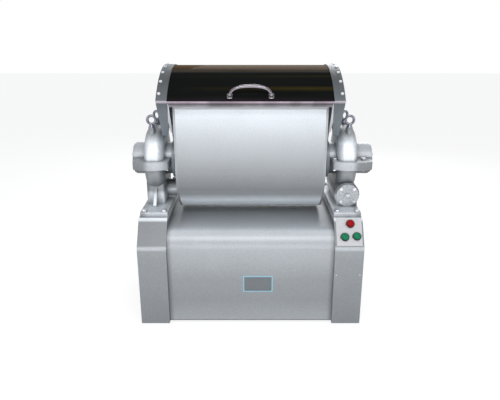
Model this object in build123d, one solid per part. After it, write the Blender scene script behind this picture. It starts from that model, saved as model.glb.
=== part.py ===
from build123d import *
import math
import os

# A tilting dough mixer. X runs across the machine, the front faces -Y, +Z is up.
# The origin is on the floor under the middle of the bowl. Millimetres and degrees.

# Bowl, about the axis
AXIS_Z = 744.0          # height of the bowl's and the shaft's common axis
BOWL_HALF_L = 350.0
BOWL_R = 230.0
TROUGH_T = 5.0
JACKET_T = 5.0
END_T = 10.0
BOWL_TOP = 285.0        # above the axis
RIM_FLARE_X = 2.0
RIM_FLARE_Y = 32.0
RIM_RISE = 25.0
RIM_STEP = 14.0         # height at which the lip starts to flare widely
RIM_T = 4.0
TRUNNION_FLANGE_R = 105.0
TRUNNION_FLANGE_T = 12.0
TRUNNION_BOLT_CIRCLE_R = 88.0
TRUNNION_BOLT_R = 9.0
TRUNNION_BOLT_H = 7.0
BOWL_OUT_R = BOWL_R + TROUGH_T + JACKET_T
RIM_OUT_Y = BOWL_OUT_R + RIM_FLARE_Y
RIM_TOP = BOWL_TOP + RIM_RISE

# Base
SIDE_ROOM = 44.0        # from the bowl's end to the pedestal's inner face
PEDESTAL_W = 136.0
HALF_DEPTH = 350.0      # pedestals, front and back
AXIS_OVER_PEDESTAL = 229.0
SLOPE_RISE = 121.0      # from the knee to the pedestal's top
SLOPE_RUN = 85.0
PEDESTAL_WALL = 5.0
PEDESTAL_EDGE_R = 6.0
COVER_INSET = 15.0      # behind the pedestals' front
COVER_FOOT_Z = 12.0
COVER_ARCH = 28.0       # rise of the crown's arc over the upright sides
COVER_BOWL_GAP = 18.0   # under the bowl
COVER_SHOULDER_R = 85.0
COVER_WALL = 3.0
COVER_GAP = 0.3
HATCH_HALF_W = 220.0
HATCH_LOW_Z = 90.0
HATCH_TOP_Z = 300.0
HATCH_LAP_X = 20.0
HATCH_LAP_Z = 18.0
HATCH_T = 2.0
LOUVRES = 6
LOUVRE_H = 8.0
LOUVRE_PITCH = 28.0
LOUVRE_MARGIN = 30.0
RAIL_H = 60.0
RAIL_W = 40.0
RAIL_INSET = 35.0
RAIL_WALL = 6.0
BEARER_HALF_W = 20.0
BEARER_INSET = 64.0
BED_T = 12.0
BED_INSET = 24.0
BED_HALF_DEPTH = 110.0
PEDESTAL_IN = BOWL_HALF_L + SIDE_ROOM
PEDESTAL_OUT = PEDESTAL_IN + PEDESTAL_W
PEDESTAL_H = AXIS_Z - AXIS_OVER_PEDESTAL
KNEE_Z = PEDESTAL_H - SLOPE_RISE
SLOPE_TOP_Y = HALF_DEPTH - SLOPE_RUN
COVER_HALF_DEPTH = HALF_DEPTH - COVER_INSET
COVER_CROWN_Z = AXIS_Z - BOWL_OUT_R - COVER_BOWL_GAP
COVER_SPRING_Z = COVER_CROWN_Z - COVER_ARCH
RAIL_Y = COVER_HALF_DEPTH - RAIL_INSET
BED_TOP = RAIL_H + BED_T

# Gear housings
CASE_INSET = 26.0       # from the pedestal's inner face
CASE_W = 95.0
CASE_R = 165.0
CASE_WALL = 8.0
CASE_EDGE_R = 38.0
PLATE_INSET_Y = 10.0
PLATE_LAP = 9.0         # past the casing's outer side
PLATE_T = 23.0
BOSS_R = 79.0
NOSE_GAP = 21.0         # from the bowl's end to the nose that the lid turns on
NOSE_L = 22.0
NOSE_R = 80.0
LEFT_BOSS_L = 58.0
RIGHT_BOSS_L = 76.0
FLANGE_T = 20.0         # each layer
FLANGE_EAR_Y = 165.0
FLANGE_MID_Y = 190.0
FLANGE_CORNER_R = 14.0
FLANGE_BOLT_R = 7.0
FLANGE_BOLT_Y = 128.0
FLANGE_NUT_R = 12.4
FLANGE_NUT_H = 12.0
FLANGE_HEAD_H = 10.0
BOLT_HOLE_R = 7.5
BASE_BOLT_HEAD_R = 14.0
BASE_BOLT_INSET_X = 18.0
BASE_BOLT_INSET_Y = 22.0
EYE_OFFSET = 58.0       # from the casing's inner side
EYE_Y = 75.0
EYE_BOSS_TOP = 170.0    # above the axis
EYE_BOSS_R = 17.0
EYE_R = 20.0
EYE_ROD_R = 6.5
REAR_EYE_TURN = 35.0
NECK_HALF_DEPTH = 115.0
NECK_WALL = 8.0
RIB_FOOT_Y = 172.0
RIB_T = 14.0
PINION_BOSS_R = 44.0
PINION_BOSS_GAP = 20.0  # from the bowl's end
COVER_PLATE_R = 74.0
COVER_PLATE_T = 10.0
COVER_BOLT_CIRCLE_R = 58.0
COVER_BOLT_R = 6.5
COVER_BOLT_H = 6.0
CASE_IN = PEDESTAL_IN + CASE_INSET
CASE_OUT = CASE_IN + CASE_W
PLATE_HALF_DEPTH = SLOPE_TOP_Y - PLATE_INSET_Y
PLATE_OUT = CASE_OUT + PLATE_LAP
PLATE_TOP = PEDESTAL_H + PLATE_T
NOSE_IN = BOWL_HALF_L + NOSE_GAP
BOSS_IN = NOSE_IN + NOSE_L
LEFT_BOSS_OUT = CASE_OUT + LEFT_BOSS_L
RIGHT_BOSS_OUT = CASE_OUT + RIGHT_BOSS_L
EYE_X = CASE_IN + EYE_OFFSET
PINION_BOSS_IN = BOWL_HALF_L + PINION_BOSS_GAP

# Shafts, bushes and gears
SHAFT_R = 32.0
JOURNAL_R = 60.0
BUSH_T = 12.0
SEAL_W = 18.0           # radial width of the shaft seals
RUN = 0.05              # radial running clearance
MODULE = 5.0
MAIN_TEETH = 46
PINION_TEETH = 16
GEAR_GAP = 8.0          # beside the gear, to the casing and to the pulley
GEAR_W = 34.0
GEAR_WEB_CUT = 10.0
TOOTH_SLACK = 0.35      # taken off each flank at the pitch circle
PINION_SHAFT_R = 20.0
PULLEY_W = 26.0
PULLEY_RIM_H = 4.0
BIG_PULLEY_R = 84.0
SMALL_PULLEY_R = 42.0
BELT_T = 5.0
BELT_W = 20.0
BELT_GAP = 0.2
MOTOR_Z = 190.0
MOTOR_SHAFT_R = 14.0
MOTOR_R = 78.0
MOTOR_L = 196.0
MOTOR_FIN_H = 7.0
GEARBOX_INSET = 18.0
GEARBOX_L = 140.0
GEARBOX_HALF = 80.0
MOTOR_BORE_L = 76.0
WORM_OFFSET = 52.0      # from the casing's inner side
WHEEL_MODULE = 6.0
WHEEL_TEETH = 40
WHEEL_W = 40.0
WORM_PITCH_R = 30.0
WORM_HALF_L = 52.0
WORM_PHASE = 270.0      # turns the thread into the wheel's gaps
WORM_SHAFT_R = 16.0
WORM_BARREL_R = 60.0
WORM_BARREL_Y = 150.0
WORM_BARREL_WALL = 18.0
WORM_COVER_R = 55.0
WORM_COVER_T = 12.0
WORM_BOLT_CIRCLE_R = 45.0
WORM_BOLT_R = 7.5
WORM_BOLT_H = 6.0
TILT_MOTOR_R = 36.0
TILT_MOTOR_L = 158.0
SEAT_R = JOURNAL_R + BUSH_T
GEAR_IN = CASE_IN + CASE_WALL + GEAR_GAP
PULLEY_IN = GEAR_IN + GEAR_W + GEAR_GAP
GEAR_DISTANCE = MODULE * (MAIN_TEETH + PINION_TEETH) / 2
PINION_Z = AXIS_Z - GEAR_DISTANCE
GEARBOX_OUT = PEDESTAL_IN - GEARBOX_INSET
MOTOR_OUT = GEARBOX_OUT - GEARBOX_L
WORM_X = CASE_IN + WORM_OFFSET
WHEEL_R = WHEEL_MODULE * WHEEL_TEETH / 2
WORM_Z = AXIS_Z - WHEEL_R - WORM_PITCH_R
WORM_LEAD = math.pi * WHEEL_MODULE
LEAD_ANGLE = math.degrees(math.atan(WORM_LEAD / (2 * math.pi * WORM_PITCH_R)))
TILT_MOTOR_IN_Y = WORM_BARREL_Y + WORM_COVER_T
TILT_MOTOR_END_Y = TILT_MOTOR_IN_Y + TILT_MOTOR_L
RIGHT_TRUNNION_END = RIGHT_BOSS_OUT - 6
SHAFT_BUSH_START = 2.0  # outside the bowl's end
SHAFT_BUSH_END = 74.0
SHAFT_END_GAP = 2.0     # past the right-hand bush
TRUNNION_BORE = SHAFT_BUSH_END + 16

# Agitator
BLADE_GAP = 14.0        # to the trough
BLADE_T = 24.0
BLADE_W = 44.0
BLADE_TWIST = 120.0
BLADE_EDGE_R = 8.0
ARM_T = 36.0
ARM_GAP = 12.0
ARM_HUB_R = 54.0
ARM_TIP_R = 20.0
BLADE_R = BOWL_R - BLADE_T / 2 - BLADE_GAP

# Lid
LID_ROOM = 43.5876      # from the rim's corner to the sheet's outside; makes its radius 456
LID_T = 3.0
LID_ARC = 90.0
LID_SHEET_GAP = 12.0    # past the bowl's end
LID_LAP = 22.0          # of the sheet under the bands
LIP_W = 36.0
BAND_W = 48.0
BAND_T = 4.0
LID_BOLTS = 9
LID_BOLT_R = 7.0
LID_BOLT_H = 4.5
LID_BOLT_INSET = 12.0
SIDE_FOOT_GAP = 10.0    # over the split flange
SIDE_FOOT_ROOM = 38.0   # from the bowl's end
SIDE_FOOT_W = 29.0
SIDE_T = 3.0
ARM_PLATE_T = 6.0
ARM_PLATE_TOP = 300.0
ARM_ARC = 60.0
HUB_W = 17.0
HUB_T = 13.0
HUB_GAP = 3.0           # from the nose's end
HANDLE_HALF = 90.0
HANDLE_RISE = 52.0
HANDLE_ROD_R = 7.5
HANDLE_SLANT = 30.0
HANDLE_BEND_R = 16.0
HANDLE_ANGLE = 41.5     # from the lid's middle, towards the front
LID_R = math.hypot(RIM_OUT_Y, RIM_TOP) + LID_ROOM
LIP_R = LID_R - LIP_W
LID_SHEET_HALF = BOWL_HALF_L + LID_SHEET_GAP
BAND_OUT = LID_SHEET_HALF + BAND_W
SIDE_FOOT_R = FLANGE_MID_Y + SIDE_FOOT_GAP
SIDE_FOOT_IN = BOWL_HALF_L + SIDE_FOOT_ROOM
SIDE_FOOT_OUT = SIDE_FOOT_IN + SIDE_FOOT_W
HUB_R = NOSE_R + HUB_W

# Controls, on the sloped panel
BUTTON_R = 19.0
BUTTON_STEM_R = 15.0
BEZEL_R = 21.0
BUTTON_H = 8.0
BUTTON_TRAVEL = 4.0
PANEL_T = 3.0
PANEL_H = 132.0
PANEL_MARGIN = 8.0
PANEL_X = (PEDESTAL_IN + PEDESTAL_OUT) / 2
BUTTONS = {             # place across, and share of the way up the slope
    "stop_button": (PANEL_X + 6, 0.79),
    "mix_button": (PANEL_X - 22, 0.36),
    "tilt_button": (PANEL_X + 34, 0.38),
}

FAR = 2000.0


def block(x0, x1, y0, y1, z0, z1):
    size = Box(abs(x1 - x0), abs(y1 - y0), abs(z1 - z0))
    return Pos((x0 + x1) / 2, (y0 + y1) / 2, (z0 + z1) / 2) * size


def rod_x(x0, x1, r, y=0.0, z=0.0):
    return Pos((x0 + x1) / 2, y, z) * Rot(Y=90) * Cylinder(r, abs(x1 - x0))


def rod_y(y0, y1, r, x=0.0, z=0.0):
    return Pos(x, (y0 + y1) / 2, z) * Rot(X=90) * Cylinder(r, abs(y1 - y0))


def rod_z(z0, z1, r, x=0.0, y=0.0):
    return Pos(x, y, (z0 + z1) / 2) * Cylinder(r, abs(z1 - z0))


def ring_x(x0, x1, r_out, r_in, y=0.0, z=0.0):
    low, high = sorted((x0, x1))
    return rod_x(low, high, r_out, y, z) - rod_x(low - 1, high + 1, r_in, y, z)


def across(face_points, x0, x1):
    """A prism along X from a closed outline of (y, z) points."""
    wire = Polyline(*[(y, z) for y, z in face_points], close=True)
    return along_x(make_face(wire), x0, x1)


def along_x(face, x0, x1):
    """A prism along X from a face drawn in (y, z)."""
    return Plane.YZ.offset(x0) * extrude(face, x1 - x0)


def turned(points, arc=360.0, start=0.0):
    """Turns a closed outline of (x, radius) points about the X axis."""
    solid = revolve(make_face(Polyline(*points, close=True)), Axis.X, revolution_arc=arc)
    return Rot(X=start) * solid


def hex_head(r, h):
    return extrude(RegularPolygon(r, 6), h)


def up(shape):
    """Lifts a shape drawn about the shaft axis to its height."""
    return Pos(0, 0, AXIS_Z) * shape


def grouped(shapes):
    """Separate solids kept apart in one node."""
    return Compound(children=[solid for shape in shapes for solid in shape.solids()])


def other_side(shape):
    return mirror(shape, Plane.YZ)


# Base

def pedestal_outline(inset):
    d, slope, top = HALF_DEPTH - inset, SLOPE_TOP_Y - inset * 0.6, PEDESTAL_H - inset
    knee = KNEE_Z - inset * 0.5
    return [(-d, 0), (-d, knee), (-slope, top), (slope, top), (d, knee), (d, 0)]


def slope_plane(x=0.0, along=0.5):
    """A plane on the sloped panel: its Z points out, its X runs across."""
    start = Vector(x, -HALF_DEPTH, KNEE_Z)
    run = Vector(0, HALF_DEPTH - SLOPE_TOP_Y, PEDESTAL_H - KNEE_Z)
    normal = Vector(0, -(PEDESTAL_H - KNEE_Z), HALF_DEPTH - SLOPE_TOP_Y)
    return Plane(start + run * along, x_dir=(1, 0, 0), z_dir=normal)


def pedestal():
    """The right-hand box, open below, before its openings."""
    shell = across(pedestal_outline(0), PEDESTAL_IN, PEDESTAL_OUT)
    shell = fillet(shell.edges().filter_by(Axis.X).group_by(Axis.Z)[-2], PEDESTAL_EDGE_R)
    inside = across(
        [(y, z if z else -1) for y, z in pedestal_outline(PEDESTAL_WALL)],
        PEDESTAL_IN + PEDESTAL_WALL, PEDESTAL_OUT - PEDESTAL_WALL)
    return shell - inside


def belt_slot():
    """The hole in the left pedestal's top and casting plate that the belt runs through."""
    half = BIG_PULLEY_R + 12
    return block(-PULLEY_IN + 6, -PULLEY_IN - PULLEY_W - 6, -half, half,
                 PEDESTAL_H - 30, PLATE_TOP + 1)


def left_pedestal():
    shaft_hole = rod_x(-PEDESTAL_IN + 1, -PEDESTAL_IN - PEDESTAL_WALL - 1, MOTOR_SHAFT_R + 16,
                       0, MOTOR_Z)
    return other_side(pedestal()) - belt_slot() - shaft_hole


def button_axis(name):
    return slope_plane(*BUTTONS[name])


def right_pedestal():
    body = pedestal()
    for name in BUTTONS:
        body -= button_axis(name) * Cylinder(BEZEL_R - 5, 40)
    return body


def control_plate():
    plate = slope_plane(PANEL_X, 0.53) * Pos(0, 0, PANEL_T / 2) * Box(
        PEDESTAL_W - 2 * PANEL_MARGIN, PANEL_H, PANEL_T)
    for name in BUTTONS:
        plate -= button_axis(name) * Cylinder(BEZEL_R - 5, 40)
    return plate


def bezel(name):
    ring = Pos(0, 0, PANEL_T + 4) * Cylinder(BEZEL_R, 8)
    ring = fillet(ring.edges().group_by(Axis.Z)[-1], 2)
    ring -= Cylinder(BUTTON_R - 3, 60)
    return button_axis(name) * ring


def button(name):
    """A mushroom cap on a stem that slides into the switch."""
    cap = Pos(0, 0, PANEL_T + 8 + BUTTON_TRAVEL + 0.5 + 4) * Cylinder(BUTTON_R, 8)
    cap = fillet(cap.edges().group_by(Axis.Z)[-1], 3)
    stem = Pos(0, 0, -2) * Cylinder(BUTTON_R - 4, 2 * (PANEL_T + 12 + 2) + 4)
    return button_axis(name) * (cap + stem)


def switch(name):
    """The switch body behind the panel, a cup round the button's stem."""
    depth, length = -PEDESTAL_WALL, 46.0
    body = Pos(0, 0, depth - length / 2 - 1) * Cylinder(BEZEL_R, length)
    bore = Pos(0, 0, depth - 16) * Cylinder(BUTTON_R - 4 + RUN, 34)
    return button_axis(name) * (body - bore)


def cover_face(inset):
    """Half-round crown over upright sides, in (y, z)."""
    d, spring = COVER_HALF_DEPTH - inset, COVER_SPRING_Z - inset
    crown = COVER_CROWN_Z - inset
    foot = COVER_FOOT_Z if inset == 0 else COVER_FOOT_Z - 1
    sides = Polyline((-d, spring), (-d, foot), (d, foot), (d, spring))
    face = make_face([sides, ThreePointArc((-d, spring), (0, crown), (d, spring))])
    corners = face.vertices().group_by(Axis.Y)[-1]
    return fillet(corners, COVER_SHOULDER_R - inset)


def base_cover():
    half = PEDESTAL_IN - COVER_GAP
    shell = along_x(cover_face(0), -half, half) - along_x(cover_face(COVER_WALL), -half - 1, half + 1)
    hatch = block(-HATCH_HALF_W, HATCH_HALF_W, RAIL_Y, FAR, HATCH_LOW_Z, HATCH_TOP_Z)
    return shell - hatch


def rear_panel():
    """A louvred hatch screwed over the opening at the back."""
    half = HATCH_HALF_W + HATCH_LAP_X
    panel = block(-half, half, COVER_HALF_DEPTH, COVER_HALF_DEPTH + HATCH_T,
                  HATCH_LOW_Z - HATCH_LAP_Z, HATCH_TOP_Z + HATCH_LAP_Z)
    for row in range(LOUVRES):
        z = HATCH_LOW_Z + LOUVRE_MARGIN + row * LOUVRE_PITCH
        for side in (-1, 1):
            panel -= block(side * LOUVRE_MARGIN, side * (HATCH_HALF_W - LOUVRE_MARGIN), RAIL_Y, FAR,
                           z, z + LOUVRE_H)
    return panel


def base_frame():
    rails = Part()
    for side in (-1, 1):
        rail = block(-PEDESTAL_IN, PEDESTAL_IN, side * (RAIL_Y + RAIL_W / 2),
                     side * (RAIL_Y - RAIL_W / 2), 0, RAIL_H)
        rail -= block(-PEDESTAL_IN - 1, PEDESTAL_IN + 1, side * (RAIL_Y + RAIL_W / 2 - RAIL_WALL),
                      side * (RAIL_Y - RAIL_W / 2 - 1), RAIL_WALL, RAIL_H - RAIL_WALL)
        rails += rail
    inner = RAIL_Y - RAIL_W / 2
    end = PEDESTAL_IN - BEARER_INSET
    bearers = [block(x - BEARER_HALF_W, x + BEARER_HALF_W, -inner, inner, 0, RAIL_H)
               for x in (-end, 0, end)]
    return rails + bearers


# Drive in the base

def motor_bed():
    return block(-PEDESTAL_IN + BED_INSET, BEARER_HALF_W, -BED_HALF_DEPTH, BED_HALF_DEPTH, RAIL_H, BED_TOP)


def gearbox():
    body = block(-GEARBOX_OUT, -MOTOR_OUT, -GEARBOX_HALF, GEARBOX_HALF, BED_TOP, MOTOR_Z + GEARBOX_HALF)
    body = fillet(body.edges().filter_by(Axis.X), 18)
    return body - rod_x(-GEARBOX_OUT - 1, -GEARBOX_OUT + MOTOR_BORE_L, MOTOR_SHAFT_R + RUN, 0, MOTOR_Z)


def drive_motor():
    end = -MOTOR_OUT + MOTOR_L
    body = rod_x(-MOTOR_OUT, end, MOTOR_R, 0, MOTOR_Z)
    body = chamfer(body.edges().group_by(Axis.X)[-1], 12)
    for turn in range(0, 180, 30):
        fin = block(-MOTOR_OUT + 10, end - 40, -MOTOR_R - MOTOR_FIN_H, MOTOR_R + MOTOR_FIN_H, -3, 3)
        body += Pos(0, 0, MOTOR_Z) * Rot(X=turn) * fin
    half = MOTOR_R - 18
    return body + block(-MOTOR_OUT + 16, end - 50, -half, half, BED_TOP, MOTOR_Z - MOTOR_R + 28)


def pulley(r, z, bore):
    """A flat-faced pulley with two rims, on the left side."""
    half = PULLEY_W / 2
    rim = half - BELT_W / 2 - 0.5
    inner, outer = -PULLEY_IN, -PULLEY_IN - PULLEY_W
    lip = r + PULLEY_RIM_H
    points = [(inner, bore), (inner, lip), (inner - rim, lip), (inner - rim, r),
              (outer + rim, r), (outer + rim, lip), (outer, lip), (outer, bore)]
    return Pos(0, 0, z) * turned(points)


def belt():
    def loop(grow):
        ends = Pos(0, PINION_Z) * Circle(BIG_PULLEY_R + grow)
        low = Pos(0, MOTOR_Z) * Circle(SMALL_PULLEY_R + grow)
        return make_hull([*ends.edges(), *low.edges()])
    middle = -PULLEY_IN - PULLEY_W / 2
    band = loop(BELT_GAP + BELT_T) - loop(BELT_GAP)
    return along_x(band, middle - BELT_W / 2, middle + BELT_W / 2)


# Spur gears

def involute(base_r, r):
    """Angle from the tooth flank's start to the point at radius r."""
    if r <= base_r:
        return 0.0
    roll = math.sqrt((r / base_r) ** 2 - 1)
    return roll - math.atan(roll)


def gear_face(teeth, turn=0.0):
    pitch_r = MODULE * teeth / 2
    base_r = pitch_r * math.cos(math.radians(20))
    tip_r, root_r = pitch_r + 0.8 * MODULE, pitch_r - 1.15 * MODULE
    half = math.pi / (2 * teeth) - TOOTH_SLACK / pitch_r + involute(base_r, pitch_r)
    radii = [root_r, (root_r + pitch_r) / 2, pitch_r, tip_r]
    points = []
    for tooth in range(teeth):
        middle = math.radians(turn) + 2 * math.pi * tooth / teeth
        flank = [(r, half - involute(base_r, r)) for r in radii]
        for r, a in flank:
            points.append((r * math.cos(middle - a), r * math.sin(middle - a)))
        for r, a in reversed(flank):
            points.append((r * math.cos(middle + a), r * math.sin(middle + a)))
    return make_face(Polyline(*points, close=True))


def main_gear():
    web = Circle(MODULE * MAIN_TEETH / 2 - 20) - Circle(SHAFT_R + 18)
    gear = along_x(gear_face(MAIN_TEETH, -90) - Circle(SHAFT_R), -GEAR_IN - GEAR_W, -GEAR_IN)
    for face_x in (-GEAR_IN - GEAR_WEB_CUT, -GEAR_IN - GEAR_W):
        gear -= along_x(web, face_x, face_x + GEAR_WEB_CUT)
    return up(gear)


def pinion():
    gear = gear_face(PINION_TEETH, 90 + 180 / PINION_TEETH) - Circle(PINION_SHAFT_R)
    return Pos(0, 0, PINION_Z) * along_x(gear, -GEAR_IN - GEAR_W - 2, -GEAR_IN + 2)


# Worm drive, right side

def worm_wheel():
    pitch = WHEEL_R
    tip, root = pitch + 0.8 * WHEEL_MODULE, pitch - 1.1 * WHEEL_MODULE
    half_gap = math.pi * WHEEL_MODULE / 4 + 0.45
    blank = ring_x(-WHEEL_W / 2, WHEEL_W / 2, tip, JOURNAL_R)
    slope = math.tan(math.radians(20))
    low = half_gap - (pitch - root) * slope
    high = half_gap + (tip + 2 - pitch) * slope
    gap = make_face(Polyline((-low, root), (low, root), (high, tip + 2), (-high, tip + 2),
                             close=True))
    cutter = Rot(Z=90) * Rot(X=90) * extrude(gap, WHEEL_W, both=True)
    cutter = Rot(Z=LEAD_ANGLE) * cutter
    pitch_angle = 360 / WHEEL_TEETH
    cutters = [Rot(X=180 + k * pitch_angle) * cutter for k in range(WHEEL_TEETH)]
    web = ring_x(0, WHEEL_W, pitch - 22, JOURNAL_R + 16)
    wheel = blank - cutters - Pos(WHEEL_W / 2 - 9, 0, 0) * web
    return up(Pos(WORM_X, 0, 0) * wheel)


def worm():
    """A single-start worm: a straight-sided thread swept along its helix."""
    root = WORM_PITCH_R - 1.1 * WHEEL_MODULE
    tip = WORM_PITCH_R + 0.8 * WHEEL_MODULE
    slope = math.tan(math.radians(20))
    half = math.pi * WHEEL_MODULE / 4 - 0.45
    low, high = half + (WORM_PITCH_R - root + 1) * slope, half - (tip - WORM_PITCH_R) * slope
    turns = 2 * WORM_HALF_L / WORM_LEAD - 1
    height = round(turns) * WORM_LEAD
    helix = Helix(WORM_LEAD, height, WORM_PITCH_R)
    outline = Polyline((root - 1, -low), (tip, -high), (tip, high), (root - 1, low), close=True)
    section = Plane.XZ * make_face(outline)
    thread = sweep(section, path=helix, is_frenet=True)
    thread = Pos(0, 0, -height / 2) * thread
    core = Cylinder(root, 2 * WORM_HALF_L)
    shaft = Cylinder(WORM_SHAFT_R, 2 * WORM_BARREL_Y - 20)
    screw = Rot(X=90) * (core + thread + shaft)
    screw = Rot(Y=WORM_PHASE) * mirror(screw, Plane.YZ)
    return Pos(WORM_X, 0, WORM_Z) * screw


# Gear housings

def case_face(inset):
    """The round casing's outline from its axis out, in (x, radius)."""
    x0, x1, r = CASE_IN + inset, CASE_OUT - inset, CASE_R - inset
    box = make_face(Polyline((x0, 0), (x1, 0), (x1, r), (x0, r), close=True))
    return fillet(box.vertices().group_by(Axis.Y)[-1], CASE_EDGE_R - inset)


def casing(inset=0.0):
    return revolve(case_face(inset), Axis.X)


def flange(boss_out):
    """The split flange's outline, bowed at front and back, drawn from above."""
    x0, x1 = BOSS_IN, boss_out - 8
    mid = (x0 + x1) / 2
    front = ThreePointArc((x0, -FLANGE_EAR_Y), (mid, -FLANGE_MID_Y), (x1, -FLANGE_EAR_Y))
    back = ThreePointArc((x0, FLANGE_EAR_Y), (mid, FLANGE_MID_Y), (x1, FLANGE_EAR_Y))
    ends = [Line((x, -FLANGE_EAR_Y), (x, FLANGE_EAR_Y)) for x in (x0, x1)]
    face = make_face([front, back, *ends])
    face = fillet(face.vertices(), FLANGE_CORNER_R)
    return Pos(0, 0, -FLANGE_T) * extrude(face, 2 * FLANGE_T)


def flange_bolt_spots():
    return [(x, side * FLANGE_BOLT_Y) for x in (CASE_IN - 14, CASE_OUT + 30) for side in (-1, 1)]


def housing(boss_out):
    """The whole right-hand casing about the shaft axis, before it is split."""
    body = casing()
    body += rod_x(BOSS_IN, boss_out, BOSS_R) + rod_x(NOSE_IN, BOSS_IN, NOSE_R)
    body += flange(boss_out)
    return body


def hollow(boss_out):
    """What is cut from both halves: the gear space and the bearing seats."""
    return casing(CASE_WALL) + rod_x(NOSE_IN - 1, CASE_IN + CASE_WALL + 1, SEAT_R) + rod_x(
        CASE_OUT - CASE_WALL - 1, boss_out + 1, SEAT_R)


def cap(boss_out):
    body = housing(boss_out)
    for y in (-EYE_Y, EYE_Y):
        body += rod_z(100, EYE_BOSS_TOP, EYE_BOSS_R, EYE_X, y)
    body -= hollow(boss_out)
    body &= block(0, FAR, -FAR, FAR, 0, FAR)
    for x, y in flange_bolt_spots():
        body -= rod_z(-1, FLANGE_T + 1, BOLT_HOLE_R, x, y)
    return up(body)


def base_bolt_spots():
    y_out = PLATE_HALF_DEPTH - BASE_BOLT_INSET_Y
    return [(x, y) for x in (PEDESTAL_IN + BASE_BOLT_INSET_X, PLATE_OUT - BASE_BOLT_INSET_X)
            for y in (-y_out, y_out)]


def lower_body(boss_out):
    body = housing(boss_out) & block(0, FAR, -FAR, FAR, -FAR, 0)
    body = up(body)
    return body + block(PEDESTAL_IN, PLATE_OUT, -PLATE_HALF_DEPTH, PLATE_HALF_DEPTH,
                        PEDESTAL_H, PLATE_TOP)


def lower_holes(body, boss_out):
    body -= up(hollow(boss_out))
    for x, y in flange_bolt_spots():
        body -= up(rod_z(-FLANGE_T - 1, 1, BOLT_HOLE_R, x, y))
    for x, y in base_bolt_spots():
        body -= rod_z(PEDESTAL_H - 1, PLATE_TOP + 1, BOLT_HOLE_R, x, y)
    return body


def left_lower_housing():
    """Drawn on the right and mirrored: a hollow neck carries the casing and the pinion."""
    body = lower_body(LEFT_BOSS_OUT)
    neck = block(CASE_IN + 4, CASE_OUT - 1, -NECK_HALF_DEPTH, NECK_HALF_DEPTH,
                 PLATE_TOP, PINION_Z + 62)
    body += fillet(neck.edges().filter_by(Axis.Z), 14)
    mid = (CASE_IN + CASE_OUT) / 2
    foot, side = RIB_FOOT_Y, NECK_HALF_DEPTH - 2
    for s in (-1, 1):
        body += across([(s * side, PLATE_TOP), (s * foot, PLATE_TOP), (s * foot, PLATE_TOP + 8),
                        (s * side, PINION_Z + 36)], mid - RIB_T / 2, mid + RIB_T / 2)
    body += rod_x(PINION_BOSS_IN, CASE_IN + 20, PINION_BOSS_R, 0, PINION_Z)
    body += rod_z(PINION_Z + 30, PINION_Z + PINION_BOSS_R + 8, 8, PINION_BOSS_IN + 22)
    body = lower_holes(body, LEFT_BOSS_OUT)
    shaft_end = CASE_OUT - NECK_WALL
    body -= block(CASE_IN + CASE_WALL + 6, shaft_end, -NECK_HALF_DEPTH + NECK_WALL,
                  NECK_HALF_DEPTH - NECK_WALL, PLATE_TOP, PINION_Z + 54)
    body -= rod_x(PINION_BOSS_IN - 1, CASE_IN + 30, PINION_SHAFT_R + BUSH_T, 0, PINION_Z)
    return other_side(body) - belt_slot()


def right_lower_housing():
    body = lower_body(RIGHT_BOSS_OUT)
    body += rod_y(-WORM_BARREL_Y, WORM_BARREL_Y, WORM_BARREL_R, WORM_X, WORM_Z)
    body += block(CASE_IN + 4, PLATE_OUT, -WORM_BARREL_Y + 8, WORM_BARREL_Y - 8, PLATE_TOP, WORM_Z)
    bore_r = WORM_BARREL_R - WORM_BARREL_WALL
    bore = rod_y(-WORM_BARREL_Y - 1, WORM_BARREL_Y + 1, bore_r, WORM_X, WORM_Z)
    return lower_holes(body, RIGHT_BOSS_OUT) - bore


def worm_cover(s):
    """s is -1 for the round front cover and 1 for the rear one that carries the tilt motor."""
    face = s * WORM_BARREL_Y
    plate = rod_y(face, face + s * WORM_COVER_T, WORM_COVER_R, WORM_X, WORM_Z)
    plate += rod_y(face, face - s * 20, WORM_BARREL_R - WORM_BARREL_WALL, WORM_X, WORM_Z)
    plate -= rod_y(face + s * (1 if s < 0 else 20), face - s * 21, WORM_SHAFT_R + RUN, WORM_X, WORM_Z)
    if s < 0:
        plate += rod_y(face - WORM_COVER_T, face - WORM_COVER_T - 8, 13, WORM_X, WORM_Z)
    return plate


def worm_cover_bolts():
    bolts = []
    for s in (-1, 1):
        for k in range(4):
            a = math.radians(45 + 90 * k)
            x = WORM_X + WORM_BOLT_CIRCLE_R * math.cos(a)
            z = WORM_Z + WORM_BOLT_CIRCLE_R * math.sin(a)
            spot = Plane((x, s * (WORM_BARREL_Y + WORM_COVER_T), z), z_dir=(0, s, 0))
            bolts.append(spot * hex_head(WORM_BOLT_R, WORM_BOLT_H))
    return grouped(bolts)


def tilt_motor():
    start = TILT_MOTOR_IN_Y
    body = rod_y(start, TILT_MOTOR_END_Y, TILT_MOTOR_R, WORM_X, WORM_Z)
    body = chamfer(body.edges().group_by(Axis.Y)[-1], 8)
    box = block(WORM_X - 28, WORM_X + 28, start + 40, TILT_MOTOR_END_Y - 50, WORM_Z,
                WORM_Z + TILT_MOTOR_R + 14)
    return body + box - rod_y(start - 1, start + 1, WORM_SHAFT_R + 2, WORM_X, WORM_Z)


def bearing_cover(boss_out, side):
    plate = rod_x(boss_out, boss_out + COVER_PLATE_T, COVER_PLATE_R)
    plate = fillet(plate.edges().group_by(Axis.X)[-1], 3)
    return up(plate if side > 0 else other_side(plate))


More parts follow.
